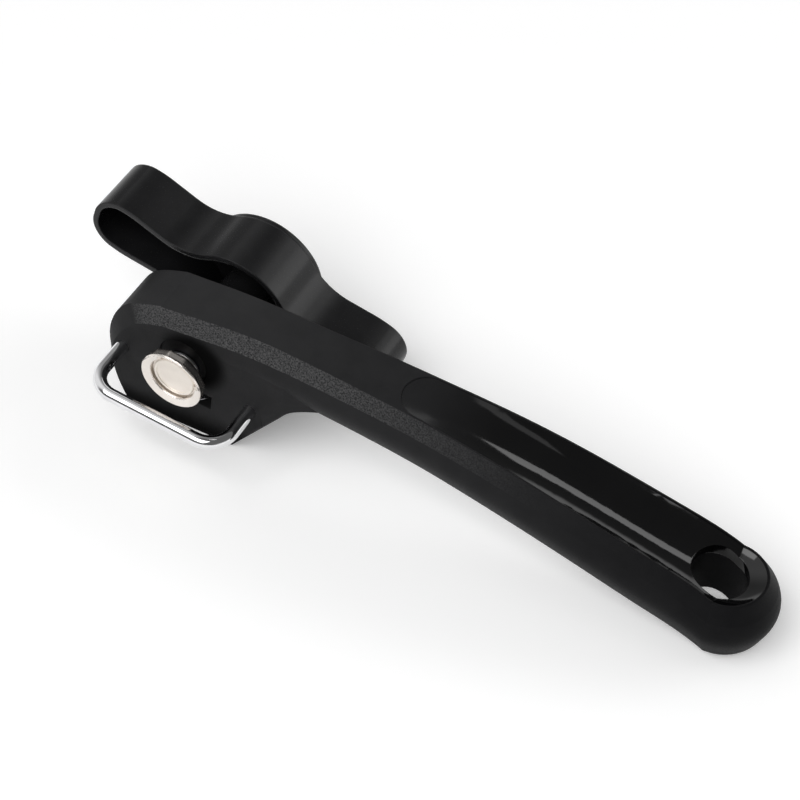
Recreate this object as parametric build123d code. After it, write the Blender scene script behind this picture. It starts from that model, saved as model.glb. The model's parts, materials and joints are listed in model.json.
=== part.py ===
from build123d import *
import os
from math import cos, radians, sin

# Hand can opener with one arched grip, a bow-tie knob and a wire guide loop.
# Millimetres. The drive axis runs along Y through X = 0, Z = 0 while the pieces are made;
# X runs along the grip to its tail, Y from the drive wheel to the knob, Z up.
# At the end everything is moved so that the origin is under the middle of the whole opener.

# Levels and general fits
TABLE = -22.6            # underside of the head and of the tail, below the drive axis
MID_Y = 9.3              # middle plane of the grip
RUN = 0.05               # radial clearance of a running fit
AXIAL = 0.2              # end play between turning faces
CAN_TILT = 6.5           # grip rises by this angle from the line of the can lid, degrees
FAR = 300.0              # reach of a cut that runs right through

# Grip stations: place, half width at the ridge, ridge height, swell of the side, depth below
# the ridge, swell at the foot of the grained band, inset of the foot
GRIP = [
    (-26.0, 6.6, 15.2, 2.0, 16.0, 2.15, 5.2),
    (-10.0, 6.5, 15.5, 2.1, 16.0, 2.25, 5.2),
    (5.0, 6.3, 16.4, 2.35, 16.2, 2.4, 5.2),
    (20.0, 5.9, 17.0, 2.8, 16.4, 2.55, 5.2),
    (35.0, 6.0, 16.2, 2.9, 16.2, 2.4, 5.2),
    (50.0, 6.5, 15.1, 2.9, 16.2, 2.25, 5.2),
    (65.0, 7.0, 13.6, 3.0, 16.3, 2.15, 5.2),
    (80.0, 7.75, 11.6, 3.2, 16.5, 2.2, 5.2),
    (95.0, 8.45, 8.9, 3.4, 16.7, 2.3, 5.3),
    (110.0, 8.95, 5.4, 3.5, 17.0, 2.35, 5.5),
    (125.0, 9.25, 1.6, 3.6, 17.6, 2.4, 6.0),
    (141.7, 9.5, -4.0, 3.6, 18.6, 2.4, 7.2),
]
BAND = 4.3               # depth of the grained band under the ridge
WIDEST = 9.6             # depth of the widest line of the side

# Gloss inlay in the top of the grip
INLAY_FROM = 57.0        # front of the inlay
INLAY_RIM = 0.5          # ridge left standing outside the inlay
INLAY_STATIONS = 5       # first grip station the inlay is drawn from
INLAY_SAGS = [0.15, 0.5, 1.2, 1.9, 2.4, 2.6, 2.6]   # dip of the trough at each of those stations
INLAY_EDGE = 0.12        # edge of the trough below the ridge
INLAY_DEPTH = 4.8        # seat of the inlay below the ridge
CORE_SPANS = [(66.0, 77.0), (80.0, 91.0), (94.0, 105.0), (108.0, 119.0)]
CORE_HALF = 4.6          # half width of the coring under the inlay
CORE_DEPTH = 5.5         # depth of the coring

# Hang hole
HANG_X = 139.7
HANG_R = 6.9

# Head block
HEAD_FRONT = 0.7         # front face under the grained band
HEAD_LEAN = 1.2          # how far the front face comes forward at the table
HEAD_TAPER_X = 22.0      # from here the front face curves back into the grip
HEAD_TAPER_R = 65.0
HEAD_TAPER_Y = 0.1       # front of that curve
HEAD_BACK = 18.0
HEAD_TOP = 10.5
HEAD_EDGE = 1.2          # rounding of the lower edges
HEAD_UNDER = [(-28.0, TABLE), (12.8, TABLE), (26.7, -5.6), (29.8, -2.0), (34.0, 0.6), (39.0, 1.8)]
# Nose seen from the side: place, height, and how far the band cuts it back at the front face
NOSE = [(-17.6, -24.5, 0.8), (-21.4, -16.5, 1.0), (-23.5, -8.0, 1.6), (-23.4, -1.0, 2.7), (-21.8, 4.2, 3.7),
        (-19.4, 8.5, 4.3), (-16.5, 11.4, 4.3), (-13.0, 13.3, 4.3), (-7.0, 15.4, 4.3), (3.0, 18.4, 4.3)]
NOSE_BAND_Y = 2.1        # width of the nose band measured across the head

# Eccentric bush in its sleeve
SHAFT_R = 3.2            # drive shaft in the bush
ECC = 1.6                # the bush turns about a line this far above the shaft
ECC_TRAVEL = 150.0       # degrees from closed to open
BUSH_R = 6.6
BUSH_FRONT = HEAD_FRONT
FLANGE_LIP = 2.0
FLANGE_R = BUSH_R + FLANGE_LIP
FLANGE_T = 1.8
FLANGE_PLAY = 0.3        # room round the flange
COUNTERBORE_R = FLANGE_R + FLANGE_PLAY
SLEEVE_WALL = 1.15
SLEEVE_R = BUSH_R + RUN + SLEEVE_WALL
SLEEVE_FRONT = 4.0       # plastic lip stands in front of the sleeve
SLEEVE_END = 15.8
LINER_WALL = 0.9
LINER_R = SHAFT_R + RUN + LINER_WALL
STOP_R = 0.45
STOP_AT = 10.0           # degrees round the sleeve from +X towards +Z
STOP_PLAY = 6.5          # degrees of flange cut past the pin at each end
STOP_LEN = 4.6

# Drive shaft
SHAFT_FLAT = 2.4         # distance of the drive flat from the shaft axis
FACE_R = 5.75            # flat head that shows in the wheel
FACE_Y = -4.2
FACE_T = 0.8
FACE_LIP = 0.85          # lip round the face
FACE_DISH = 0.2          # face lies this deep inside its lip

# Drive wheel: a dished ring in front, flats round the side
WHEEL_FRONT = -5.6
WHEEL_BACK = -2.9
WHEEL_R = 8.4            # over the corners of the flats
RIM_R = 8.5
RIM_ROUND = 0.4
RIM_BACK = -4.9          # flats run from here to the back of the wheel
RIM_IN = 6.3             # cup inside the dished ring
DISH = 0.8               # depth of the dished ring
FLATS = 12
FLAT_R = 8.15            # distance of the flats from the axis
FLAT_TURN = 5.0          # first corner, degrees from +X towards +Z
HUB_R = 4.3
WASHER_R = 4.5
WASHER_T = 0.5
HUB_END = BUSH_FRONT - AXIAL - WASHER_T

# Clip and drag spring behind the bush
SPRING_R = 5.2
SPRING_T = 0.4
CLIP_R = 5.6
CLIP_T = 0.8
CLIP_BITE = 0.5          # depth of the clip groove
CLIP_MOUTH = 4.2         # opening of the clip

# Rear cover
COVER_T = 1.6
COVER_PLAY = 0.5         # room for the clip in the cover
COVER_HOLE = ECC + CLIP_R + COVER_PLAY
COVER_LOW = -7.6
COVER_HIGH = 10.2
SCREW_R = 1.1
SCREW_HEAD_R = 2.1
SCREW_WALL = 0.9         # plastic between screw and counterbore
SCREW_PCD_R = COUNTERBORE_R + SCREW_WALL + SCREW_R
SCREW_ANGLES = [20.0, 160.0, 200.0, 340.0]
COVER_EDGE = 0.4         # sheet outside the screw heads
COVER_R = SCREW_PCD_R + SCREW_HEAD_R + COVER_EDGE
SCREW_HEAD_T = 1.4
SCREW_LEN = 8.0
SLOT_W = 0.6             # driver slot
SLOT_DEEP = 0.6

# Knob
KNOB_TILT = 18.9         # left wing stands up by this angle
KNOB_FRONT = 23.6
KNOB_WELL = 36.0         # floor of the screw well
KNOB_WELL_DEEP = 3.7
KNOB_BACK = KNOB_WELL + KNOB_WELL_DEEP
SHAFT_SHORT = 0.4        # end of the shaft short of that floor
SHAFT_END = KNOB_WELL - SHAFT_SHORT
KNOB_WALL = 1.5
KNOB_FLOOR = 2.0
KNOB_REACH = 42.6        # half length over the wings
WING_END = 8.0           # half height at the end of a wing
WING_TOP = 8.6           # half height at the shoulder of a wing
WING_LENGTH = 9.8        # from the shoulder of a wing to its end
WING_SHOULDER = KNOB_REACH - WING_LENGTH
WING_CORNER = 7.4        # rounding of the wing ends
WING_SOFT = 24.0         # rounding of the shoulders
WAIST = 5.9              # half height of the wings inside the round middle
WAIST_AT = 10.0          # distance of that place from the axis
WAIST_ROUND = 15.0       # hollow between middle and wings
KNOB_MIDDLE_R = 16.1
KNOB_HUB_R = 6.2
KNOB_HUB_FRONT = 20.8
KNOB_RIB = 1.4
KNOB_RIB_FRONT = 34.0
KNOB_WELL_R = 4.9
CAP_R = 15.9
CAP_T = 1.7
CAP_SPIGOT = 0.7
CAP_ROUND = 0.7
KNOB_WASHER_R = 4.3
KNOB_WASHER_T = 0.8
KNOB_SCREW_R = 1.4
KNOB_SCREW_HEAD_R = 2.8
KNOB_SCREW_HEAD_T = 1.7
KNOB_SCREW_TIP = 27.0

# Cutting wheel and its axle, upright to the line of the can lid
CUT_Y = 5.6
CUT_R = 8.0
CUT_T = 1.4
CUT_BEVEL = 1.8
CUT_EDGE = 0.1           # half thickness of the sharp edge
CUT_BUSH_R = 3.0
CUT_WASHER_R = 4.4
CUT_WASHER_T = 0.9
CUT_PLAY = 0.15
AXLE_R = 1.8
AXLE_HEAD_R = 2.7
AXLE_HEAD_T = 2.2
AXLE_WELL_PLAY = 0.2
AXLE_WELL_R = AXLE_HEAD_R + AXLE_WELL_PLAY
TIP_WALL = 0.5           # plastic between the tip of the axle and the sleeve
TIP_SEAT = 0.6           # length of the tip held above the pocket
AXLE_TIP = ECC - SLEEVE_R - TIP_WALL
POCKET_PLAY = 0.3
POCKET_HALF = CUT_R + POCKET_PLAY
POCKET_HIGH = AXLE_TIP - TIP_SEAT
CUT_Z = POCKET_HIGH - CUT_WASHER_T - CUT_PLAY - CUT_T / 2
POCKET_LOW = CUT_Z - CUT_T / 2 - CUT_PLAY - CUT_WASHER_T
MOUTH_HIGH = 1.0         # slot opens this far above the pocket at the front face
MOUTH_WIDE = 0.3         # and this far past its ends
MOUTH_Y = 2.4            # depth of that opening
INSERT_R = 2.8
INSERT_LEN = 4.6
INSERT_DEEP = 1.6        # insert below the floor of the pocket
INSERT_HIGH = POCKET_LOW - INSERT_DEEP
INSERT_LOW = INSERT_HIGH - INSERT_LEN
SEAT_WALL = 0.4          # plastic between the insert and the head of the axle
AXLE_SEAT = INSERT_LOW - SEAT_WALL

# Guide loop
WIRE_R = 1.75
LOOP_LEFT = -17.6
LOOP_RIGHT = 19.4
LOOP_Z = -4.0
LOOP_BAR = -14.4
LOOP_BEND = 6.5
LOOP_END = 19.2
NUT_R = 2.9
NUT_T = 0.8

ALONG_Y = Plane(origin=(0, 0, 0), x_dir=(1, 0, 0), z_dir=(0, 1, 0))
CAN_LINE = Rot(0, CAN_TILT, 0)
KNOB_TURN = Rot(0, KNOB_TILT, 0)


def disc(radius, y0, y1, x=0.0, z=0.0):
    """A round bar along Y from y0 to y1."""
    middle = Pos(x, (y0 + y1) / 2, z) * Rot(90, 0, 0)
    return middle * Cylinder(radius, y1 - y0)


def post(radius, z0, z1, x=0.0, y=0.0):
    """A round bar along Z from z0 to z1."""
    return Pos(x, y, (z0 + z1) / 2) * Cylinder(radius, z1 - z0)


def block(x0, x1, y0, y1, z0, z1):
    """A box between two corners."""
    middle = Pos((x0 + x1) / 2, (y0 + y1) / 2, (z0 + z1) / 2)
    return middle * Box(x1 - x0, y1 - y0, z1 - z0)


def side_sheet(outline, y0, y1):
    """An outline drawn in X and Z, drawn out along Y from y0 to y1."""
    sheet = Plane(origin=(0, y1, 0), x_dir=(1, 0, 0), z_dir=(0, -1, 0)) * outline
    return extrude(sheet, amount=y1 - y0)


def station_plane(x):
    return Plane(origin=(x, MID_Y, 0), x_dir=(0, 1, 0), z_dir=(1, 0, 0))


def grip_side(row, side):
    """One side of the grip section from ridge to foot: the grained band, then the convex flank."""
    half, top, swell, depth, band, foot_in = row[1:]
    wide = half + swell
    low = depth - WIDEST
    lean = 2 * (swell - band) / (WIDEST - BAND)
    points = [
        (side * (half + band), top - BAND),
        (side * wide, top - WIDEST),
        (side * (wide - 0.24 * foot_in), top - WIDEST - 0.62 * low),
        (side * (wide - foot_in), top - depth),
    ]
    flank = Spline(points, tangents=[(side * lean, -1), (-side, 0)])
    return Line((side * half, top), points[0]) + flank


def foot_half(row):
    return row[1] + row[3] - row[6]


def grip_section(row):
    x, half, top, swell, depth = row[:5]
    foot = foot_half(row)
    lid = Line((-half, top), (half, top))
    sole = Line((-foot, top - depth), (foot, top - depth))
    return station_plane(x) * make_face(lid + grip_side(row, 1) + sole + grip_side(row, -1))


def grip_tail(row):
    """The round tail: the front half of the last section turned about its middle."""
    x, half, top, swell, depth = row[:5]
    lid = Line((-half, top), (0, top))
    spine = Line((0, top), (0, top - depth))
    sole = Line((-foot_half(row), top - depth), (0, top - depth))
    half_face = station_plane(x) * make_face(lid + grip_side(row, -1) + sole + spine)
    return revolve(half_face, axis=Axis((x, MID_Y, 0), (0, 0, 1)), revolution_arc=180)


def grip_bar():
    return loft([grip_section(row) for row in GRIP]) + grip_tail(GRIP[-1])


def inlay_face(row, sag):
    """Inlay section with its trough, or with a straight top well above the ridge when sag is None."""
    half = row[1] - INLAY_RIM
    top = row[2]
    low = top - INLAY_DEPTH
    edge = top + INLAY_DEPTH if sag is None else top - INLAY_EDGE
    upper = Line((-half, edge), (half, edge))
    if sag is not None:
        upper = ThreePointArc((-half, edge), (0, edge - sag), (half, edge))
    walls = Polyline((half, edge), (half, low), (-half, low), (-half, edge))
    return make_face(upper + walls)


def inlay_tail(row, sag):
    front_half = Pos(0, row[2]) * Rectangle(FAR, FAR, align=(Align.MAX, Align.CENTER))
    face = inlay_face(row, sag) & front_half
    turn = Axis((row[0], MID_Y, 0), (0, 0, 1))
    return revolve(station_plane(row[0]) * face, axis=turn, revolution_arc=180)


def inlay_shape(whole):
    """The inlay itself, or the seat cut for it in the grip."""
    rows = GRIP[INLAY_STATIONS:]
    sags = INLAY_SAGS if whole else [None] * len(rows)
    run = loft([station_plane(row[0]) * inlay_face(row, sag) for row, sag in zip(rows, sags)])
    shape = run + inlay_tail(rows[-1], sags[-1])
    front_r = rows[1][1] - INLAY_RIM
    middle = INLAY_FROM + front_r
    round_end = post(front_r, -FAR, FAR, middle, MID_Y)
    rest = block(middle, FAR, -FAR, FAR, -FAR, FAR)
    return shape & (round_end + rest)


def hang_hole():
    return post(HANG_R, -FAR, FAR, HANG_X, MID_Y)


def ridge_at(x):
    """Ridge height at a place along the grip."""
    for a, b in zip(GRIP, GRIP[1:]):
        if a[0] <= x <= b[0]:
            return a[2] + (b[2] - a[2]) * (x - a[0]) / (b[0] - a[0])
    return GRIP[-1][2]


def core_pockets():
    """Coring under the inlay, with ribs left between."""
    pockets = []
    for x0, x1 in CORE_SPANS:
        low = ridge_at(x1) - INLAY_DEPTH - CORE_DEPTH
        high = ridge_at(x0) - INLAY_DEPTH + 1
        pockets.append(block(x0, x1, MID_Y - CORE_HALF, MID_Y + CORE_HALF, low, high))
    return pockets


def front_y(z):
    """Place of the head's front face at one height."""
    return HEAD_FRONT - HEAD_LEAN * (HEAD_TOP - z) / (HEAD_TOP - TABLE)


def front_room():
    """Space in front of the head's leaning front face."""
    line = [(front_y(FAR), FAR), (front_y(-FAR), -FAR)]
    outline = make_face(Polyline(*line, (-FAR, -FAR), (-FAR, FAR), line[0]))
    return extrude(Plane.YZ * outline, amount=FAR, both=True)


def taper_room():
    """Space in front of the head where it narrows into the grip."""
    middle = HEAD_TAPER_Y + HEAD_TAPER_R
    reach = HEAD_TAPER_X + HEAD_TAPER_R
    room = block(HEAD_TAPER_X, reach, -FAR, middle, -FAR, FAR)
    return room - post(HEAD_TAPER_R, -FAR, FAR, HEAD_TAPER_X, middle)


def head_block():
    under = HEAD_UNDER
    outline = make_face(
        Polyline(under[0], under[1], under[2])
        + Spline(under[2:], tangents=[(12.8, 17.0), (1, 0.12)])
        + Polyline(under[-1], (under[-1][0], HEAD_TOP), (under[0][0], HEAD_TOP), under[0])
    )
    solid = side_sheet(outline, HEAD_FRONT - 2 * HEAD_LEAN, HEAD_BACK) - front_room()
    low_edges = [
        e
        for e in solid.edges()
        if e.center().Z < HEAD_TOP - 3 and abs(e.tangent_at(0.5).X) > 0.5
    ]
    return fillet(low_edges, HEAD_EDGE) - taper_room()


def nose_outline(share, y):
    """Room for the nose at one place across the head; share 1 is cut back by the whole band."""
    line = []
    for i, (x, z, cut) in enumerate(NOSE):
        before = NOSE[max(i - 1, 0)]
        after = NOSE[min(i + 1, len(NOSE) - 1)]
        along = Vector(after[0] - before[0], after[1] - before[1]).normalized()
        line.append((x + along.Y * cut * share, z - along.X * cut * share))
    first, last = line[0], line[-1]
    frame = Polyline(last, (last[0], FAR), (FAR, FAR), (FAR, -FAR), (first[0], -FAR), first)
    at = Plane(origin=(0, y, 0), x_dir=(1, 0, 0), z_dir=(0, -1, 0))
    return at * make_face(Spline(line) + frame)


def nose_room():
    """Space the head may fill: the nose, cut back by a sloping band at the front and the back."""
    front = HEAD_FRONT + NOSE_BAND_Y
    back = HEAD_BACK - NOSE_BAND_Y
    room = extrude(nose_outline(0, back), amount=back - front)
    room += loft([nose_outline(2, HEAD_FRONT - NOSE_BAND_Y), nose_outline(0, front)], ruled=True)
    return room + loft([nose_outline(0, back), nose_outline(2, HEAD_BACK + NOSE_BAND_Y)], ruled=True)


def cutter_pocket():
    room = post(POCKET_HALF, POCKET_LOW, POCKET_HIGH, 0, CUT_Y)
    room += block(-POCKET_HALF, POCKET_HALF, -FAR, CUT_Y, POCKET_LOW, POCKET_HIGH)
    half = POCKET_HALF + MOUTH_WIDE
    room += block(-half, half, -FAR, MOUTH_Y, POCKET_LOW, POCKET_HIGH + MOUTH_HIGH)
    return CAN_LINE * room


def axle_bores():
    bores = post(AXLE_R, AXLE_SEAT, AXLE_TIP, 0, CUT_Y)
    bores += post(INSERT_R, INSERT_LOW, INSERT_HIGH, 0, CUT_Y)
    bores += post(AXLE_WELL_R, -FAR, AXLE_SEAT, 0, CUT_Y)
    return CAN_LINE * bores


def loop_legs():
    legs = disc(WIRE_R, -FAR, FAR, LOOP_LEFT, LOOP_Z) + disc(WIRE_R, -FAR, FAR, LOOP_RIGHT, LOOP_Z)
    return CAN_LINE * legs


def screw_spots():
    spots = []
    for angle in SCREW_ANGLES:
        spots.append((SCREW_PCD_R * cos(radians(angle)), ECC + SCREW_PCD_R * sin(radians(angle))))
    return spots


def handle_body():
    tail = block(NOSE[-1][0], FAR, -FAR, FAR, -FAR, FAR)
    body = (grip_bar() + head_block()) & (nose_room() + tail)
    body -= inlay_shape(False)
    for pocket in core_pockets():
        body -= pocket
    body -= hang_hole()
    body -= disc(BUSH_R + RUN, -FAR, SLEEVE_FRONT, 0, ECC)
    body -= disc(SLEEVE_R, SLEEVE_FRONT, SLEEVE_END, 0, ECC)
    body -= disc(COUNTERBORE_R, SLEEVE_END, FAR, 0, ECC)
    body -= cover_plate()
    body -= cutter_pocket()
    body -= axle_bores()
    body -= loop_legs()
    for x, z in screw_spots():
        body -= disc(SCREW_R, HEAD_BACK - SCREW_LEN + COVER_T, FAR, x, z)
    return body


def grip_inlay():
    return inlay_shape(True) - hang_hole()


def guide_loop():
    path = FilletPolyline(
        (LOOP_LEFT, LOOP_END, LOOP_Z),
        (LOOP_LEFT, LOOP_BAR, LOOP_Z),
        (LOOP_RIGHT, LOOP_BAR, LOOP_Z),
        (LOOP_RIGHT, LOOP_END, LOOP_Z),
        radius=LOOP_BEND,
    )
    start = Plane(origin=path @ 0, z_dir=path % 0)
    return CAN_LINE * sweep(start * Circle(WIRE_R), path=path)


def loop_nuts():
    nuts = []
    for x in (LOOP_LEFT, LOOP_RIGHT):
        ring = disc(NUT_R, HEAD_BACK, HEAD_BACK + NUT_T, x, LOOP_Z)
        ring -= disc(WIRE_R, -FAR, FAR, x, LOOP_Z)
        nuts.append(CAN_LINE * ring)
    return nuts


def stop_spot():
    r = (BUSH_R + RUN + SLEEVE_R) / 2
    return r * cos(radians(STOP_AT)), ECC + r * sin(radians(STOP_AT))


def stop_ends():
    end = SLEEVE_END + FLANGE_T
    return end - STOP_LEN, end


def bearing_sleeve():
    sleeve = disc(SLEEVE_R, SLEEVE_FRONT, SLEEVE_END, 0, ECC)
    sleeve -= disc(BUSH_R + RUN, -FAR, FAR, 0, ECC)
    x, z = stop_spot()
    return sleeve - disc(STOP_R, stop_ends()[0], FAR, x, z)


def stop_pin():
    x, z = stop_spot()
    return disc(STOP_R, stop_ends()[0], stop_ends()[1], x, z)


def flange_cut():
    """Sector taken out of the flange so that the stop pin limits the turn."""
    first = STOP_AT - STOP_PLAY
    last = STOP_AT + ECC_TRAVEL + STOP_PLAY
    steps = 8
    reach = 2 * FLANGE_R
    rim = []
    for i in range(steps + 1):
        angle = radians(first + (last - first) * i / steps)
        rim.append((reach * cos(angle), ECC + reach * sin(angle)))
    outline = make_face(Polyline((0, ECC), *rim, (0, ECC)))
    wedge = side_sheet(outline, SLEEVE_END, HEAD_BACK)
    return wedge - disc(BUSH_R, -FAR, FAR, 0, ECC)


def eccentric_bush():
    flange_y = SLEEVE_END + AXIAL
    bush = disc(BUSH_R, BUSH_FRONT, flange_y + FLANGE_T, 0, ECC)
    bush += disc(FLANGE_R, flange_y, flange_y + FLANGE_T, 0, ECC)
    bush -= flange_cut()
    return bush - disc(LINER_R, -FAR, FAR)


def shaft_liner():
    return disc(LINER_R, BUSH_FRONT, SLEEVE_END + AXIAL + FLANGE_T) - disc(SHAFT_R + RUN, -FAR, FAR)


def clip_y():
    return SLEEVE_END + AXIAL + FLANGE_T + AXIAL / 2 + SPRING_T


def shaft_bar(y0, y1):
    """Shaft with its drive flat, between two places along it."""
    bar = disc(SHAFT_R, y0, y1)
    return bar - block(SHAFT_FLAT, 2 * SHAFT_R, y0 - 1, y1 + 1, -SHAFT_R - 1, SHAFT_R + 1)


def drive_shaft():
    face_back = FACE_Y + FACE_T
    shaft = disc(FACE_R, FACE_Y, face_back)
    shaft += shaft_bar(face_back, HUB_END)
    shaft += disc(SHAFT_R, HUB_END, KNOB_HUB_FRONT)
    shaft += shaft_bar(KNOB_HUB_FRONT, SHAFT_END)
    groove = disc(2 * SHAFT_R, clip_y(), clip_y() + CLIP_T) - disc(SHAFT_R - CLIP_BITE, -FAR, FAR)
    shaft -= groove
    shaft -= disc(KNOB_SCREW_R, KNOB_SCREW_TIP, FAR)
    rim = [e for e in shaft.edges() if e.geom_type == GeomType.CIRCLE and abs(e.center().Y - FACE_Y) < 0.01]
    shaft = chamfer(rim, FACE_DISH)
    return shaft - disc(FACE_R - FACE_LIP, FACE_Y - 1, FACE_Y + FACE_DISH)


def wheel_cup():
    """Room in front of the dished ring and in the cup behind it."""
    land = RIM_R - RIM_ROUND
    before = WHEEL_FRONT - 1
    floor = FACE_Y + FACE_T
    half = Polyline(
        (0, before), (land, before), (land, WHEEL_FRONT), (RIM_IN, WHEEL_FRONT + DISH),
        (RIM_IN, floor), (0, floor), (0, before),
    )
    return revolve(make_face(half), axis=Axis.Y)


def drive_wheel():
    wheel = disc(RIM_R, WHEEL_FRONT, RIM_BACK)
    rim = [e for e in wheel.edges() if abs(e.center().Y - WHEEL_FRONT) < 0.01]
    wheel = fillet(rim, RIM_ROUND)
    flats = RegularPolygon(FLAT_R, FLATS, major_radius=False, rotation=FLAT_TURN)
    wheel += side_sheet(flats, RIM_BACK, WHEEL_BACK) & disc(WHEEL_R, RIM_BACK, WHEEL_BACK)
    wheel -= wheel_cup()
    wheel += disc(HUB_R, WHEEL_BACK, HUB_END)
    return wheel - shaft_bar(WHEEL_FRONT - 1, HUB_END + 1)


def thrust_washer():
    return disc(WASHER_R, HUB_END, BUSH_FRONT - AXIAL) - disc(SHAFT_R, -FAR, FAR)


def drag_spring():
    y0 = clip_y() - SPRING_T
    return disc(SPRING_R, y0, clip_y()) - disc(SHAFT_R, -FAR, FAR)


def shaft_clip():
    y0 = clip_y()
    clip = disc(CLIP_R, y0, y0 + CLIP_T) - disc(SHAFT_R - CLIP_BITE, -FAR, FAR)
    return clip - block(-CLIP_MOUTH / 2, CLIP_MOUTH / 2, -FAR, FAR, -FAR, 0)


def cover_plate():
    plate = disc(COVER_R, HEAD_BACK, HEAD_BACK + COVER_T, 0, ECC)
    return plate & block(-FAR, FAR, -FAR, FAR, COVER_LOW, COVER_HIGH)


def rear_cover():
    cover = cover_plate() - disc(COVER_HOLE, -FAR, FAR, 0, ECC)
    for x, z in screw_spots():
        cover -= disc(SCREW_R, -FAR, FAR, x, z)
    return cover


def cover_screws():
    screws = []
    seat = HEAD_BACK + COVER_T
    for x, z in screw_spots():
        screw = disc(SCREW_R, seat - SCREW_LEN, seat, x, z)
        screw += disc(SCREW_HEAD_R, seat, seat + SCREW_HEAD_T, x, z)
        top = seat + SCREW_HEAD_T
        screw -= block(-FAR, FAR, top - SLOT_DEEP, FAR, z - SLOT_W / 2, z + SLOT_W / 2)
        screws.append(screw)
    return screws


def upright_edges(solid, x_low, x_high):
    """Edges that run along Y, between two distances from the middle plane of the knob."""
    found = []
    for edge in solid.edges().filter_by(Axis.Y):
        if x_low < abs(edge.center().X) < x_high:
            found.append(edge)
    return found


def knob_form(inset, y0, y1):
    """Bow-tie block: straight-sided wings with rounded ends and a round middle."""
    quarter = [
        (WAIST_AT, WAIST - inset),
        (WING_SHOULDER, WING_TOP - inset),
        (KNOB_REACH - inset, WING_END - inset),
    ]
    right = quarter + [(u, -v) for u, v in reversed(quarter)]
    left = [(-u, -v) for u, v in right]
    bow = side_sheet(make_face(Polyline(*right, *left, right[0])), y0, y1)
    bow = fillet(upright_edges(bow, KNOB_REACH - inset - 1, KNOB_REACH + 1), WING_CORNER - inset)
    bow = fillet(upright_edges(bow, WING_SHOULDER - 1, WING_SHOULDER + 1), WING_SOFT - inset)
    whole = bow + disc(KNOB_MIDDLE_R - inset, y0, y1)
    return fillet(upright_edges(whole, WAIST_AT, KNOB_MIDDLE_R), WAIST_ROUND + inset)


def knob_shell():
    shell = knob_form(0, KNOB_FRONT, KNOB_BACK)
    ribs = block(-FAR, FAR, KNOB_RIB_FRONT, KNOB_BACK - 1, -KNOB_RIB / 2, KNOB_RIB / 2)
    ribs += block(-KNOB_RIB / 2, KNOB_RIB / 2, KNOB_RIB_FRONT, KNOB_BACK - 1, -FAR, FAR)
    ribs = ribs & shell
    shell -= knob_form(KNOB_WALL, KNOB_FRONT - 1, KNOB_BACK - KNOB_FLOOR)
    return shell + ribs


def knob():
    body = knob_shell() + disc(KNOB_HUB_R, KNOB_HUB_FRONT, KNOB_BACK - 1)
    body -= disc(KNOB_WELL_R, KNOB_WELL, FAR)
    body = KNOB_TURN * body
    return body - shaft_bar(KNOB_HUB_FRONT - 1, KNOB_WELL + 1)


def knob_washer():
    return disc(KNOB_WASHER_R, KNOB_WELL, KNOB_WELL + KNOB_WASHER_T) - disc(KNOB_SCREW_R, -FAR, FAR)


def knob_screw():
    seat = KNOB_WELL + KNOB_WASHER_T
    screw = disc(KNOB_SCREW_R, KNOB_SCREW_TIP, seat)
    screw += disc(KNOB_SCREW_HEAD_R, seat, seat + KNOB_SCREW_HEAD_T)
    top = seat + KNOB_SCREW_HEAD_T
    return screw - block(-FAR, FAR, top - SLOT_DEEP, FAR, -SLOT_W / 2, SLOT_W / 2)


def knob_cap():
    cap = disc(CAP_R, KNOB_BACK, KNOB_BACK + CAP_T)
    rim = [e for e in cap.edges() if abs(e.center().Y - KNOB_BACK - CAP_T) < 0.01]
    cap = fillet(rim, CAP_ROUND)
    return cap + disc(KNOB_WELL_R, KNOB_BACK - CAP_SPIGOT, KNOB_BACK)


def cutting_wheel():
    half = CUT_T / 2
    shoulder = CUT_R - CUT_BEVEL
    rim = Polyline(
        (CUT_BUSH_R, -half), (shoulder, -half), (CUT_R, -CUT_EDGE), (CUT_R, CUT_EDGE),
        (shoulder, half), (CUT_BUSH_R, half), (CUT_BUSH_R, -half),
    )
    wheel = revolve(Plane.XZ * make_face(rim), axis=Axis.Z)
    return CAN_LINE * (Pos(0, CUT_Y, CUT_Z) * wheel)


def cutter_bush():
    low = CUT_Z - CUT_T / 2
    bush = post(CUT_BUSH_R, low, low + CUT_T, 0, CUT_Y) - post(AXLE_R + RUN, -FAR, FAR, 0, CUT_Y)
    return CAN_LINE * bush


def cutter_axle():
    axle = post(AXLE_R, AXLE_SEAT, AXLE_TIP, 0, CUT_Y)
    low = AXLE_SEAT - AXLE_HEAD_T
    axle += post(AXLE_HEAD_R, low, AXLE_SEAT, 0, CUT_Y)
    axle -= block(-FAR, FAR, CUT_Y - SLOT_W, CUT_Y + SLOT_W, -FAR, low + SLOT_DEEP)
    return CAN_LINE * axle


def axle_insert():
    insert = post(INSERT_R, INSERT_LOW, INSERT_HIGH, 0, CUT_Y) - post(AXLE_R, -FAR, FAR, 0, CUT_Y)
    return CAN_LINE * insert


def cutter_washers():
    washers = []
    low = CUT_Z - CUT_T / 2 - CUT_PLAY
    high = CUT_Z + CUT_T / 2 + CUT_PLAY
    for z0, z1 in ((POCKET_LOW, low), (high, POCKET_HIGH)):
        ring = post(CUT_WASHER_R, z0, z1, 0, CUT_Y) - post(AXLE_R, -FAR, FAR, 0, CUT_Y)
        washers.append(CAN_LINE * ring)
    return washers


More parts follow.
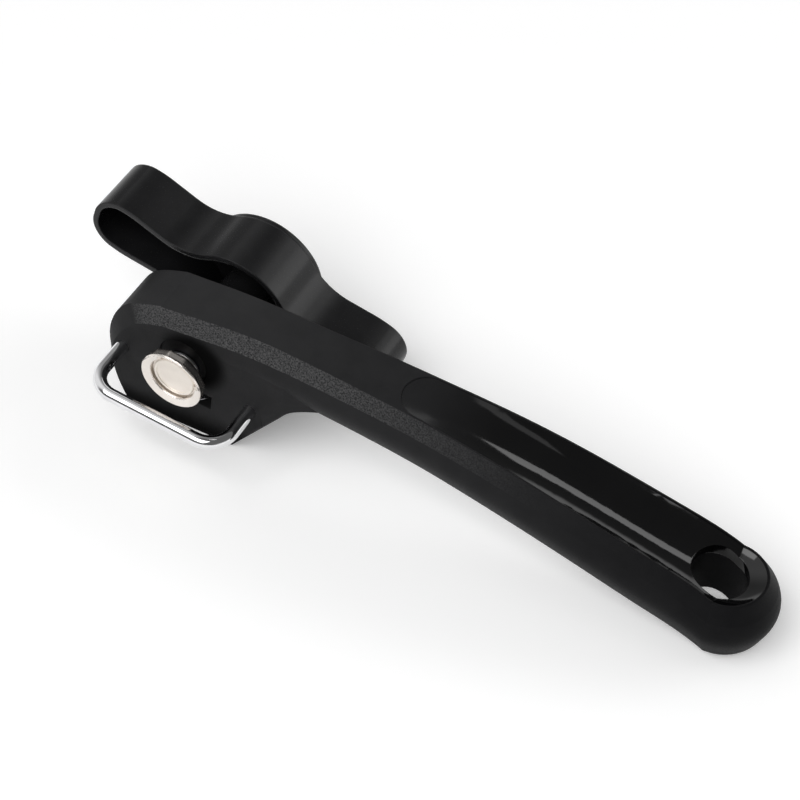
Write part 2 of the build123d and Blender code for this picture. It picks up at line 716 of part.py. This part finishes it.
PIECES = {
    "handle_body": handle_body,
    "grip_inlay": grip_inlay,
    "guide_loop": guide_loop,
    "loop_nuts": loop_nuts,
    "bearing_sleeve": bearing_sleeve,
    "stop_pin": stop_pin,
    "rear_cover": rear_cover,
    "cover_screws": cover_screws,
    "cutter_axle": cutter_axle,
    "axle_insert": axle_insert,
    "cutter_washers": cutter_washers,
    "eccentric_bush": eccentric_bush,
    "shaft_liner": shaft_liner,
    "drive_shaft": drive_shaft,
    "drive_wheel": drive_wheel,
    "thrust_washer": thrust_washer,
    "drag_spring": drag_spring,
    "shaft_clip": shaft_clip,
    "knob": knob,
    "knob_washer": knob_washer,
    "knob_screw": knob_screw,
    "knob_cap": knob_cap,
    "cutting_wheel": cutting_wheel,
    "cutter_bush": cutter_bush,
}


def solids_of(made):
    found = []
    for item in made if isinstance(made, list) else [made]:
        found.extend(item.solids())
    return found


def build():
    nodes = {name: solids_of(make()) for name, make in PIECES.items()}
    whole = Compound([s for solids in nodes.values() for s in solids]).bounding_box()
    middle = whole.center()
    home = Pos(-middle.X, -middle.Y, -whole.min.Z)
    return {name: [home * s for s in solids] for name, solids in nodes.items()}, home


NODES, HOME = build()
os.makedirs("parts", exist_ok=True)
for name, solids in NODES.items():
    node = solids[0] if len(solids) == 1 else Compound(solids)
    node.label = name
    export_step(node, os.path.join("parts", name + ".step"))
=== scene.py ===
import json
import math

import bpy
from mathutils import Matrix, Vector


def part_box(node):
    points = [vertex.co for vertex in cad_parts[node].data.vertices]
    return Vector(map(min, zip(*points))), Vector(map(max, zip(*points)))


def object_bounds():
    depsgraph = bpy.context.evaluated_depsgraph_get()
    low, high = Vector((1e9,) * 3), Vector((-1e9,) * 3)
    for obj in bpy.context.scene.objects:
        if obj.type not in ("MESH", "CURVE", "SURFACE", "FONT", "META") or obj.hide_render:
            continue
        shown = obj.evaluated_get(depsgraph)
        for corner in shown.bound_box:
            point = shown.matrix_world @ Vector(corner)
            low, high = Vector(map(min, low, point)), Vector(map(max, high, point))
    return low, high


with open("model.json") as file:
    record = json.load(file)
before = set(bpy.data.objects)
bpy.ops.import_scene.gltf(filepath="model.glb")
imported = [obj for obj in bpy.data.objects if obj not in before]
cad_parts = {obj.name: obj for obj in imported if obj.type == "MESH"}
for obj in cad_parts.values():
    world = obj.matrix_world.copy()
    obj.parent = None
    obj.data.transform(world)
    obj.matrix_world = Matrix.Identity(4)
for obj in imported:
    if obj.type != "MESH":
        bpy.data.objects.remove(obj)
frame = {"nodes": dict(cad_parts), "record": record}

cad_low, cad_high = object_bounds()
nodes = frame["nodes"]
scene = bpy.context.scene

# The drive axis, from the wheel's own box: the camera and the tones of the head are set from it.
WHEEL_FRONT = 0.0056  # from the front of the wheel to the point that the camera was fitted round
wheel_low, wheel_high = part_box("drive_wheel")
AXIS = Vector((
    (wheel_low[0] + wheel_high[0]) / 2,
    wheel_low[1] + WHEEL_FRONT,
    (wheel_low[2] + wheel_high[2]) / 2,
))

# Grain scales, in waves per metre or so, and the part of the noise that carries a tone
MOTTLE = 160.0
METAL_MOTTLE = 240.0
GRIP_GRAIN = 2600.0
BAND_GRAIN = 2700.0
INLAY_GRAIN = 900.0
TONE_SPAN = (0.35, 0.65)
METAL_SPAN = (0.3, 0.7)
BAND_SPAN = (0.34, 0.66)
NOISE_SPAN = (0.3, 0.7)

# Tones of the moulding, darker and lighter end of each mottle; some of them are painted light or shade
HEAD_TONE = ((0.0168, 0.0168, 0.0177), (0.0198, 0.0198, 0.0207))
# Painted shade: the darker tone that the moulding takes on towards the tail
TAIL_SHADE_TONE = ((0.006, 0.006, 0.0066), (0.0075, 0.0075, 0.0081))
# Painted highlight: the lighter tone of the head's upward faces
TOP_LIGHT_TONE = ((0.0245, 0.0245, 0.0254), (0.0275, 0.0275, 0.0284))
# Painted shade: the darker tone of the head's front behind the drive wheel and towards the base
FRONT_SHADE_TONE = ((0.0014, 0.0014, 0.0015), (0.002, 0.002, 0.0022))
# The bands' spark grain, whose lighter tone is partly the grain's own look and partly painted sheen
BAND_GRAIN_SHEEN_TONE = ((0.018, 0.018, 0.019), (0.09, 0.09, 0.091))
MATTE_TONE = ((0.0105, 0.0105, 0.0112), (0.0125, 0.0125, 0.0132))
GLOSS_TONE = ((0.0018, 0.0018, 0.002), (0.0024, 0.0024, 0.0026))

# Where the finishes of the moulding change, and where its painted light and shade fall, in metres along X or
# Z
# Where the bands' grain and their painted sheen fade out towards the tail
BAND_GRAIN_SHEEN_FADE = (-0.035, 0.05)
# Painted shade: where the moulding turns darker towards the tail
TAIL_SHADE_FADE = (0.0, 0.1)
# Painted highlight: where the lighter top over the head ends
TOP_LIGHT_FADE = (-0.05, 0.0)
POLISH_START = (0.0, 0.027)
# Painted shade on the head's front: a disc round the drive wheel, and a strip towards the base
FRONT_SHADE_CENTRE = (AXIS.x + 0.0035, 0, AXIS.z + 0.0035)
FRONT_SHADE_RADIUS = (0.006, 0.0105)
BASE_RISE = (AXIS.z - 0.0205, AXIS.z - 0.0135)
BASE_END = (AXIS.x + 0.018, AXIS.x + 0.03)

# Floor and world
FLOOR_HALF = 4.0
FLOOR_GAP = 0.0001
FLOOR_TONE = 0.92
FLOOR_GLOW = 0.22
FAR_GLOW = 0.56
FAR_REACH = (0.3, 1.4)
SKY_LEVEL = 0.93
SKY_LOSS = 0.8
CORNER_GAIN = 0.75
CORNER_FADE = 0.55

# Camera, fitted to the photograph
CAMERA_TURN = math.radians(28.92)
CAMERA_DIP = math.radians(48.64)
CAMERA_LENS = 100.65
CAMERA_TARGET = Vector((0.04854, 0.02246, -0.008))  # from the drive axis
CAMERA_DISTANCE = 0.55225


def material(name):
    made = bpy.data.materials.new(name)
    made.use_nodes = True
    tree = made.node_tree
    tree.nodes.clear()
    out = tree.nodes.new("ShaderNodeOutputMaterial")
    shader = tree.nodes.new("ShaderNodeBsdfPrincipled")
    tree.links.new(shader.outputs["BSDF"], out.inputs["Surface"])
    return made, tree, shader


def split(tree, vector):
    """X, Y and Z of a vector."""
    made = tree.nodes.new("ShaderNodeSeparateXYZ")
    tree.links.new(vector, made.inputs[0])
    return made.outputs["X"], made.outputs["Y"], made.outputs["Z"]


def noise(tree, scale, detail=3.0, rough=0.55):
    place = tree.nodes.get("place") or tree.nodes.new("ShaderNodeTexCoord")
    place.name = "place"
    made = tree.nodes.new("ShaderNodeTexNoise")
    made.inputs["Scale"].default_value = scale
    made.inputs["Detail"].default_value = detail
    made.inputs["Roughness"].default_value = rough
    tree.links.new(place.outputs["Object"], made.inputs["Vector"])
    return made.outputs["Fac"]


def ramp(tree, fac, span, tones):
    made = tree.nodes.new("ShaderNodeValToRGB")
    for end, position, tone in zip(made.color_ramp.elements, span, tones):
        end.position = position
        end.color = (*tone, 1)
    tree.links.new(fac, made.inputs["Fac"])
    return made.outputs["Color"]


def spread(tree, fac, low, high):
    """The noise's middle range spread over low to high."""
    made = tree.nodes.new("ShaderNodeMapRange")
    made.inputs["From Min"].default_value = NOISE_SPAN[0]
    made.inputs["From Max"].default_value = NOISE_SPAN[1]
    made.inputs["To Min"].default_value = low
    made.inputs["To Max"].default_value = high
    tree.links.new(fac, made.inputs["Value"])
    return made.outputs["Result"]


def bump(tree, height, depth, strength, under):
    made = tree.nodes.new("ShaderNodeBump")
    made.inputs["Distance"].default_value = depth
    made.inputs["Strength"].default_value = strength
    tree.links.new(height, made.inputs["Height"])
    tree.links.new(under, made.inputs["Normal"])
    return made.outputs["Normal"]


def soft_edge(tree, radius):
    made = tree.nodes.new("ShaderNodeBevel")
    made.samples = 6
    made.inputs["Radius"].default_value = radius
    return made.outputs["Normal"]


def step(tree, value, low, high):
    """Smooth 0 to 1 between two values."""
    made = tree.nodes.new("ShaderNodeMapRange")
    made.interpolation_type = "SMOOTHSTEP"
    made.inputs["From Min"].default_value = low
    made.inputs["From Max"].default_value = high
    tree.links.new(value, made.inputs["Value"])
    return made.outputs["Result"]


def math_node(tree, kind, a, b=None):
    made = tree.nodes.new("ShaderNodeMath")
    made.operation = kind
    for spot, value in enumerate((a, b)):
        if value is None:
            continue
        if isinstance(value, (int, float)):
            made.inputs[spot].default_value = value
        else:
            tree.links.new(value, made.inputs[spot])
    return made.outputs[0]


def times(tree, a, b):
    return math_node(tree, "MULTIPLY", a, b)


def larger(tree, a, b):
    return math_node(tree, "MAXIMUM", a, b)


def step_down(tree, value, low, high):
    """Smooth 1 to 0 between two values."""
    return math_node(tree, "SUBTRACT", 1.0, step(tree, value, low, high))


def blend(tree, fac, a, b):
    """Mix of two colours."""
    made = tree.nodes.new("ShaderNodeMix")
    made.data_type = "RGBA"
    tree.links.new(fac, made.inputs["Factor"])
    tree.links.new(a, made.inputs[6])
    tree.links.new(b, made.inputs[7])
    return made.outputs[2]


def seen_or_mirrored(tree):
    """Rays from the camera, and those that come by way of a mirror or glass."""
    path = tree.nodes.new("ShaderNodeLightPath")
    mirrored = larger(tree, path.outputs["Is Glossy Ray"], path.outputs["Is Transmission Ray"])
    return path.outputs["Is Camera Ray"], mirrored


def plastic(name, tones, rough, grain, grain_depth, edge, specular):
    """Plain moulded plastic with a fine grain."""
    made, tree, shader = material(name)
    mottle = noise(tree, MOTTLE)
    fine = noise(tree, grain, 2.0)
    tree.links.new(ramp(tree, mottle, TONE_SPAN, tones), shader.inputs["Base Color"])
    tree.links.new(spread(tree, fine, *rough), shader.inputs["Roughness"])
    shader.inputs["Specular IOR Level"].default_value = specular
    tree.links.new(bump(tree, fine, grain_depth, 0.6, soft_edge(tree, edge)), shader.inputs["Normal"])
    return made


def grained_grip(name):
    """Matte moulding whose sloping bands carry a coarse spark grain that fades towards the tail.

    Its top is painted lighter over the head as a painted highlight. The moulding is painted darker
    towards the tail, and on the head's front behind the drive wheel and towards the base, as painted
    shade. The bands' lighter tone is partly their grain and partly painted sheen.
    """
    made, tree, shader = material(name)
    shader.inputs["Specular IOR Level"].default_value = 0.06
    where = tree.nodes.new("ShaderNodeTexCoord")
    _, facing_y, facing_z = split(tree, where.outputs["Normal"])
    x, _, z = split(tree, where.outputs["Object"])
    mottle = noise(tree, MOTTLE)
    fine = noise(tree, GRIP_GRAIN, 2.0)
    coarse = noise(tree, BAND_GRAIN, 2.0, 0.6)

    slope = times(tree, step(tree, facing_z, 0.36, 0.42), step_down(tree, facing_z, 0.66, 0.74))
    band = times(tree, slope, step(tree, math_node(tree, "ABSOLUTE", facing_y), 0.45, 0.6))
    band = times(tree, band, step_down(tree, x, *BAND_GRAIN_SHEEN_FADE))

    head = ramp(tree, mottle, TONE_SPAN, HEAD_TONE)
    # Painted shade: the moulding is painted darker towards the tail
    tail = ramp(tree, mottle, TONE_SPAN, TAIL_SHADE_TONE)
    tone = blend(tree, step(tree, x, *TAIL_SHADE_FADE), head, tail)

    # Painted highlight: the head's upward faces are painted lighter
    painted_top_light = times(tree, step(tree, facing_z, 0.8, 0.95), step_down(tree, x, *TOP_LIGHT_FADE))
    tone = blend(tree, painted_top_light, tone, ramp(tree, mottle, TONE_SPAN, TOP_LIGHT_TONE))

    # Painted shade: the head's front is painted darker in a disc behind the drive wheel and towards the
    # base, and its roughness is raised there as well
    flat = tree.nodes.new("ShaderNodeVectorMath")
    flat.operation = "MULTIPLY"
    flat.inputs[1].default_value = (1, 0, 1)
    tree.links.new(where.outputs["Object"], flat.inputs[0])
    away = tree.nodes.new("ShaderNodeVectorMath")
    away.operation = "DISTANCE"
    away.inputs[1].default_value = FRONT_SHADE_CENTRE
    tree.links.new(flat.outputs["Vector"], away.inputs[0])
    near = step_down(tree, away.outputs["Value"], *FRONT_SHADE_RADIUS)
    base = times(tree, step_down(tree, z, *BASE_RISE), step_down(tree, x, *BASE_END))
    front = step(tree, times(tree, facing_y, -1.0), 0.5, 0.8)
    painted_shade = times(tree, front, larger(tree, near, base))
    tone = blend(tree, painted_shade, tone, ramp(tree, mottle, TONE_SPAN, FRONT_SHADE_TONE))

    # The bands are lighter: partly their coarse grain, partly painted sheen
    tone = blend(tree, band, tone, ramp(tree, coarse, BAND_SPAN, BAND_GRAIN_SHEEN_TONE))
    tree.links.new(tone, shader.inputs["Base Color"])
    rough = math_node(tree, "ADD", spread(tree, fine, 0.46, 0.58), times(tree, painted_shade, 0.42))
    tree.links.new(rough, shader.inputs["Roughness"])
    low = bump(tree, fine, 0.00003, 0.6, soft_edge(tree, 0.0005))
    tree.links.new(bump(tree, times(tree, coarse, band), 0.0002, 0.8, low), shader.inputs["Normal"])
    return made


def polished_inlay(name):
    """Gloss moulding whose polish comes in over the first part behind the head."""
    made, tree, shader = material(name)
    where = tree.nodes.new("ShaderNodeTexCoord")
    x, _, _ = split(tree, where.outputs["Object"])
    mottle = noise(tree, MOTTLE)
    fine = noise(tree, INLAY_GRAIN, 2.0)
    matte = ramp(tree, mottle, TONE_SPAN, MATTE_TONE)
    bright = ramp(tree, mottle, TONE_SPAN, GLOSS_TONE)
    tone = blend(tree, step(tree, x, *POLISH_START), matte, bright)
    tree.links.new(tone, shader.inputs["Base Color"])
    dull = times(tree, step_down(tree, x, *POLISH_START), 0.07)
    rough = math_node(tree, "ADD", spread(tree, fine, 0.05, 0.08), dull)
    tree.links.new(rough, shader.inputs["Roughness"])
    shader.inputs["Specular IOR Level"].default_value = 0.5
    tree.links.new(bump(tree, fine, 0.0000008, 0.6, soft_edge(tree, 0.0003)), shader.inputs["Normal"])
    return made


def metal(name, tones, rough, grain, grain_depth, edge, side_rough=0.0):
    """Metal with a fine grain; side_rough dulls the faces that lie round the drive axis."""
    made, tree, shader = material(name)
    shader.inputs["Metallic"].default_value = 1.0
    mottle = noise(tree, METAL_MOTTLE)
    fine = noise(tree, grain, 2.0)
    tree.links.new(ramp(tree, mottle, METAL_SPAN, tones), shader.inputs["Base Color"])
    shine = spread(tree, fine, *rough)
    if side_rough:
        where = tree.nodes.new("ShaderNodeTexCoord")
        _, facing_y, _ = split(tree, where.outputs["Normal"])
        side = step_down(tree, math_node(tree, "ABSOLUTE", facing_y), 0.3, 0.7)
        shine = math_node(tree, "ADD", shine, times(tree, side, side_rough))
    tree.links.new(shine, shader.inputs["Roughness"])
    tree.links.new(bump(tree, fine, grain_depth, 0.4, soft_edge(tree, edge)), shader.inputs["Normal"])
    return made


# Name, darker and lighter tone, roughness, grain scale, grain depth, edge radius, and then the
# specular level of a plastic or the extra roughness of a metal's sides
PLASTICS = [
    ("knob_plastic", ((0.009, 0.009, 0.0096), (0.011, 0.011, 0.0117)),
     (0.25, 0.275), 3000.0, 0.000003, 0.0006, 0.22),
    # The bush is black plastic whose tone is set darker than the knob's, as painted shade in the bore behind
    # the drive wheel
    ("bush_plastic", ((0.003, 0.003, 0.0033), (0.0045, 0.0045, 0.0049)),
     (0.38, 0.5), 2600.0, 0.00001, 0.0002, 0.06),
]
METALS = [
    ("chrome_wire", ((0.74, 0.74, 0.75), (0.82, 0.82, 0.83)), (0.02, 0.05), 1200.0, 0.000001, 0.0002),
    ("chrome_wheel", ((0.78, 0.73, 0.68), (0.86, 0.81, 0.76)), (0.03, 0.07), 1200.0, 0.000001, 0.0007, 0.15),
    ("satin_steel", ((0.91, 0.855, 0.79), (0.97, 0.915, 0.85)), (0.5, 0.62), 5200.0, 0.000006, 0.0001),
    ("blade_steel", ((0.52, 0.52, 0.54), (0.62, 0.62, 0.64)), (0.22, 0.34), 3000.0, 0.000004, 0.0001),
    ("zinc_steel", ((0.5, 0.51, 0.53), (0.6, 0.61, 0.63)), (0.25, 0.38), 2600.0, 0.000004, 0.0001),
    ("cover_steel", ((0.44, 0.44, 0.46), (0.54, 0.54, 0.56)), (0.3, 0.42), 3200.0, 0.000004, 0.0002),
    ("bearing_bronze", ((0.52, 0.37, 0.21), (0.62, 0.46, 0.27)), (0.34, 0.48), 3600.0, 0.000006, 0.0001),
    ("brass", ((0.64, 0.49, 0.23), (0.74, 0.58, 0.3)), (0.22, 0.34), 2600.0, 0.000004, 0.0001),
]
finish = {"grip_plastic": grained_grip("grip_plastic"), "gloss_inlay": polished_inlay("gloss_inlay")}
for row in PLASTICS:
    finish[row[0]] = plastic(*row)
for row in METALS:
    finish[row[0]] = metal(*row)
for part in frame["record"]["subparts"]:
    mesh = nodes[part["node"]].data
    mesh.materials.clear()
    mesh.materials.append(finish[part["material_slot"]])

# Floor that keeps the shadow and reads white where nothing shades it, also far off
floor_mesh = bpy.data.meshes.new("floor")
floor_mesh.from_pydata([
    (-FLOOR_HALF, -FLOOR_HALF, 0), (FLOOR_HALF, -FLOOR_HALF, 0),
    (FLOOR_HALF, FLOOR_HALF, 0), (-FLOOR_HALF, FLOOR_HALF, 0),
], [], [(0, 1, 2, 3)])
floor = bpy.data.objects.new("floor", floor_mesh)
scene.collection.objects.link(floor)
floor.location.z = cad_low[2] - FLOOR_GAP
paint = bpy.data.materials.new("floor")
paint.use_nodes = True
tree = paint.node_tree
tree.nodes.clear()
out = tree.nodes.new("ShaderNodeOutputMaterial")
diffuse = tree.nodes.new("ShaderNodeBsdfDiffuse")
diffuse.inputs["Color"].default_value = (FLOOR_TONE, FLOOR_TONE, FLOOR_TONE, 1)
glow = tree.nodes.new("ShaderNodeEmission")
glow.inputs["Color"].default_value = (1, 1, 1, 1)
where = tree.nodes.new("ShaderNodeTexCoord")
reach = tree.nodes.new("ShaderNodeVectorMath")
reach.operation = "LENGTH"
tree.links.new(where.outputs["Object"], reach.inputs[0])
far = times(tree, step(tree, reach.outputs["Value"], *FAR_REACH), FAR_GLOW)
seen, mirrored = seen_or_mirrored(tree)
level = times(tree, math_node(tree, "ADD", far, FLOOR_GLOW), larger(tree, seen, mirrored))
tree.links.new(level, glow.inputs["Strength"])
both = tree.nodes.new("ShaderNodeAddShader")
tree.links.new(diffuse.outputs[0], both.inputs[0])
tree.links.new(glow.outputs[0], both.inputs[1])
tree.links.new(both.outputs[0], out.inputs["Surface"])
floor_mesh.materials.append(paint)

# World: white round the horizon except in front, dim above, less so overhead on the left.
# The camera sees it white, and so do mirrors near the horizon.
world = bpy.data.worlds.new("studio")
scene.world = world
world.use_nodes = True
tree = world.node_tree
tree.nodes.clear()
out = tree.nodes.new("ShaderNodeOutputWorld")
sky = tree.nodes.new("ShaderNodeBackground")
where = tree.nodes.new("ShaderNodeTexCoord")
x, y, z = split(tree, where.outputs["Generated"])
gap = times(tree, step_down(tree, y, -0.7, -0.3), step(tree, z, 0.0, 0.05))
raised = larger(tree, step(tree, z, 0.14, 0.26), gap)
corner = times(tree, step_down(tree, x, -0.28, -0.06), step(tree, y, -0.6, -0.3))
gain = math_node(tree, "SUBTRACT", CORNER_GAIN, times(tree, step(tree, y, 0.1, 0.55), CORNER_FADE))
loss = math_node(tree, "SUBTRACT", SKY_LOSS, times(tree, corner, gain))
shade = math_node(tree, "SUBTRACT", SKY_LEVEL, times(tree, raised, loss))
seen, mirrored = seen_or_mirrored(tree)
shown = larger(tree, seen, times(tree, mirrored, step_down(tree, z, 0.0, 0.05)))
tree.links.new(larger(tree, shade, shown), sky.inputs["Strength"])
sky.inputs["Color"].default_value = (1, 1, 1, 1)
tree.links.new(sky.outputs[0], out.inputs["Surface"])


def lamp(name, place, width, height, power):
    """Soft rectangular lamp that faces the origin."""
    data = bpy.data.lights.new(name, "AREA")
    data.shape = "RECTANGLE"
    data.size = width
    data.size_y = height
    data.energy = power
    made = bpy.data.objects.new(name, data)
    scene.collection.objects.link(made)
    made.location = place
    made.rotation_mode = "QUATERNION"
    made.rotation_quaternion = (-Vector(place)).to_track_quat("-Z", "Y")


lamp("key", (-0.2, -0.84, 1.12), 1.4, 1.0, 13.6)
lamp("strip_right", (0.376, 0.865, 0.82), 0.72, 0.22, 1.2)
lamp("strip_left", (-0.414, 0.847, 0.82), 0.62, 0.22, 0.3)
lamp("fill", (0.9, 0.74, 0.45), 0.7, 0.6, 3.4)
lamp("top", (0.1, 0.15, 1.2), 0.32, 0.12, 0.07)

# Camera of the photograph
look = Vector((
    -math.sin(CAMERA_TURN) * math.cos(CAMERA_DIP),
    math.cos(CAMERA_TURN) * math.cos(CAMERA_DIP),
    -math.sin(CAMERA_DIP),
))
right = Vector((math.cos(CAMERA_TURN), math.sin(CAMERA_TURN), 0))
up = right.cross(look)
view = bpy.data.cameras.new("camera")
view.sensor_width = 36.0
view.lens = CAMERA_LENS
view.clip_start = 0.01
view.clip_end = 50.0
camera = bpy.data.objects.new("camera", view)
scene.collection.objects.link(camera)
place = AXIS + CAMERA_TARGET - look * CAMERA_DISTANCE
camera.matrix_world = Matrix((
    (right.x, up.x, -look.x, place.x),
    (right.y, up.y, -look.y, place.y),
    (right.z, up.z, -look.z, place.z),
    (0, 0, 0, 1),
))
scene.camera = camera
scene.view_settings.view_transform = "Standard"
